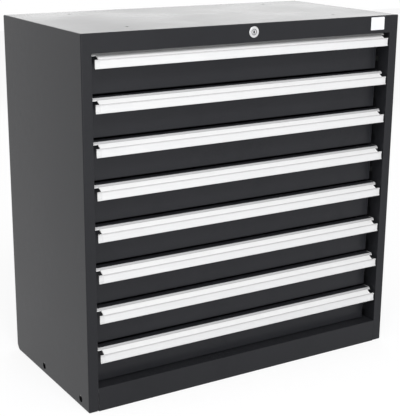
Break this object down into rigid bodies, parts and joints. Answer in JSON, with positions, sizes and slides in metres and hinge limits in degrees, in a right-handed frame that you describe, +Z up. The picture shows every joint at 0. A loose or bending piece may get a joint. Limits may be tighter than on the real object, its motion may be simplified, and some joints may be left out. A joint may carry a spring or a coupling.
{
  "type": "tool cabinet",
  "caption": "Free-standing steel tool cabinet with equal full-width drawers on ball slides, extruded pull handles and one central lock.",
  "frame": {"origin": "on the floor, below the middle of the cabinet's whole outline, handles, lock bezel and back rivets included", "axes": "+Z up; the drawers face -Y and pull out along -Y; +X to the right of a person who faces them"},
  "size_m": [1, 0.5042, 1],
  "materials": {
    "anthracite_paint": "fine-textured anthracite powder coat",
    "drawer_paint": "fine-textured anthracite powder coat",
    "handle_aluminium": "natural anodised extrusion, satin",
    "label_plastic": "clear cover over white paper, blank",
    "zinc_steel": "bright zinc plated",
    "rivet_aluminium": "plain",
    "plate_white": "blank satin plate",
    "lock_chrome": "satin chrome plated zinc",
    "guide_plastic": "moulded nylon"
  },
  "bodies": {
    "cabinet": {"side_left": "anthracite_paint", "side_right": "anthracite_paint", "top_panel": "anthracite_paint", "back_panel": "anthracite_paint", "bottom_panel": "anthracite_paint", "plinth": "anthracite_paint", "runner_posts": "anthracite_paint", "cabinet_runners": "zinc_steel", "runner_screws": "zinc_steel", "back_rivets": "rivet_aluminium", "blank_plate": "plate_white", "lock_housing": "lock_chrome", "lock_nut": "zinc_steel", "lock_guides": "guide_plastic"},
    "drawer_1": {"drawer_1_box": "drawer_paint", "drawer_1_handle": "handle_aluminium", "drawer_1_label": "label_plastic", "drawer_1_runners": "zinc_steel"},
    "drawer_2": {"drawer_2_box": "drawer_paint", "drawer_2_handle": "handle_aluminium", "drawer_2_label": "label_plastic", "drawer_2_runners": "zinc_steel"},
    "drawer_3": {"drawer_3_box": "drawer_paint", "drawer_3_handle": "handle_aluminium", "drawer_3_label": "label_plastic", "drawer_3_runners": "zinc_steel"},
    "drawer_4": {"drawer_4_box": "drawer_paint", "drawer_4_handle": "handle_aluminium", "drawer_4_label": "label_plastic", "drawer_4_runners": "zinc_steel"},
    "drawer_5": {"drawer_5_box": "drawer_paint", "drawer_5_handle": "handle_aluminium", "drawer_5_label": "label_plastic", "drawer_5_runners": "zinc_steel"},
    "drawer_6": {"drawer_6_box": "drawer_paint", "drawer_6_handle": "handle_aluminium", "drawer_6_label": "label_plastic", "drawer_6_runners": "zinc_steel"},
    "drawer_7": {"drawer_7_box": "drawer_paint", "drawer_7_handle": "handle_aluminium", "drawer_7_label": "label_plastic", "drawer_7_runners": "zinc_steel"},
    "drawer_8": {"drawer_8_box": "drawer_paint", "drawer_8_handle": "handle_aluminium", "drawer_8_label": "label_plastic", "drawer_8_runners": "zinc_steel"},
    "middle_1": {"middle_runners_1": "zinc_steel"},
    "middle_2": {"middle_runners_2": "zinc_steel"},
    "middle_3": {"middle_runners_3": "zinc_steel"},
    "middle_4": {"middle_runners_4": "zinc_steel"},
    "middle_5": {"middle_runners_5": "zinc_steel"},
    "middle_6": {"middle_runners_6": "zinc_steel"},
    "middle_7": {"middle_runners_7": "zinc_steel"},
    "middle_8": {"middle_runners_8": "zinc_steel"},
    "lock_plug": {"lock_plug": "lock_chrome", "lock_cam": "zinc_steel", "cam_screw": "zinc_steel"},
    "lock_link": {"lock_link": "zinc_steel"},
    "lock_bar": {"lock_bar": "anthracite_paint"}
  },
  "joints": [
    {"name": "drawer_1_slide", "type": "slide", "parent": "cabinet", "child": "drawer_1", "axis": [0, -1, 0], "range_m": [0, 0.4]},
    {"name": "drawer_2_slide", "type": "slide", "parent": "cabinet", "child": "drawer_2", "axis": [0, -1, 0], "range_m": [0, 0.4]},
    {"name": "drawer_3_slide", "type": "slide", "parent": "cabinet", "child": "drawer_3", "axis": [0, -1, 0], "range_m": [0, 0.4]},
    {"name": "drawer_4_slide", "type": "slide", "parent": "cabinet", "child": "drawer_4", "axis": [0, -1, 0], "range_m": [0, 0.4]},
    {"name": "drawer_5_slide", "type": "slide", "parent": "cabinet", "child": "drawer_5", "axis": [0, -1, 0], "range_m": [0, 0.4]},
    {"name": "drawer_6_slide", "type": "slide", "parent": "cabinet", "child": "drawer_6", "axis": [0, -1, 0], "range_m": [0, 0.4]},
    {"name": "drawer_7_slide", "type": "slide", "parent": "cabinet", "child": "drawer_7", "axis": [0, -1, 0], "range_m": [0, 0.4]},
    {"name": "drawer_8_slide", "type": "slide", "parent": "cabinet", "child": "drawer_8", "axis": [0, -1, 0], "range_m": [0, 0.4]},
    {"name": "middle_1_slide", "type": "slide", "parent": "cabinet", "child": "middle_1", "axis": [0, -1, 0], "range_m": [0, 0.2]},
    {"name": "middle_2_slide", "type": "slide", "parent": "cabinet", "child": "middle_2", "axis": [0, -1, 0], "range_m": [0, 0.2]},
    {"name": "middle_3_slide", "type": "slide", "parent": "cabinet", "child": "middle_3", "axis": [0, -1, 0], "range_m": [0, 0.2]},
    {"name": "middle_4_slide", "type": "slide", "parent": "cabinet", "child": "middle_4", "axis": [0, -1, 0], "range_m": [0, 0.2]},
    {"name": "middle_5_slide", "type": "slide", "parent": "cabinet", "child": "middle_5", "axis": [0, -1, 0], "range_m": [0, 0.2]},
    {"name": "middle_6_slide", "type": "slide", "parent": "cabinet", "child": "middle_6", "axis": [0, -1, 0], "range_m": [0, 0.2]},
    {"name": "middle_7_slide", "type": "slide", "parent": "cabinet", "child": "middle_7", "axis": [0, -1, 0], "range_m": [0, 0.2]},
    {"name": "middle_8_slide", "type": "slide", "parent": "cabinet", "child": "middle_8", "axis": [0, -1, 0], "range_m": [0, 0.2]},
    {"name": "lock_turn", "type": "hinge", "parent": "cabinet", "child": "lock_plug", "pos_m": [0, -0.2491, 0.9775], "axis": [0, 1, 0], "range_deg": [0, 90]},
    {"name": "link_slide", "type": "slide", "parent": "cabinet", "child": "lock_link", "axis": [-1, 0, 0], "range_m": [0, 0.02546]},
    {"name": "bar_slide", "type": "slide", "parent": "cabinet", "child": "lock_bar", "axis": [0, 0, 1], "range_m": [0, 0.0105]}
  ],
  "couplings": [
    {"joint": "middle_1_slide", "follows": "drawer_1_slide", "ratio": 0.5},
    {"joint": "middle_2_slide", "follows": "drawer_2_slide", "ratio": 0.5},
    {"joint": "middle_3_slide", "follows": "drawer_3_slide", "ratio": 0.5},
    {"joint": "middle_4_slide", "follows": "drawer_4_slide", "ratio": 0.5},
    {"joint": "middle_5_slide", "follows": "drawer_5_slide", "ratio": 0.5},
    {"joint": "middle_6_slide", "follows": "drawer_6_slide", "ratio": 0.5},
    {"joint": "middle_7_slide", "follows": "drawer_7_slide", "ratio": 0.5},
    {"joint": "middle_8_slide", "follows": "drawer_8_slide", "ratio": 0.5},
    {"joint": "lock_turn", "follows": "bar_slide", "rad_per_m": 149.6},
    {"joint": "link_slide", "follows": "bar_slide", "ratio": 2.4244}
  ]
}
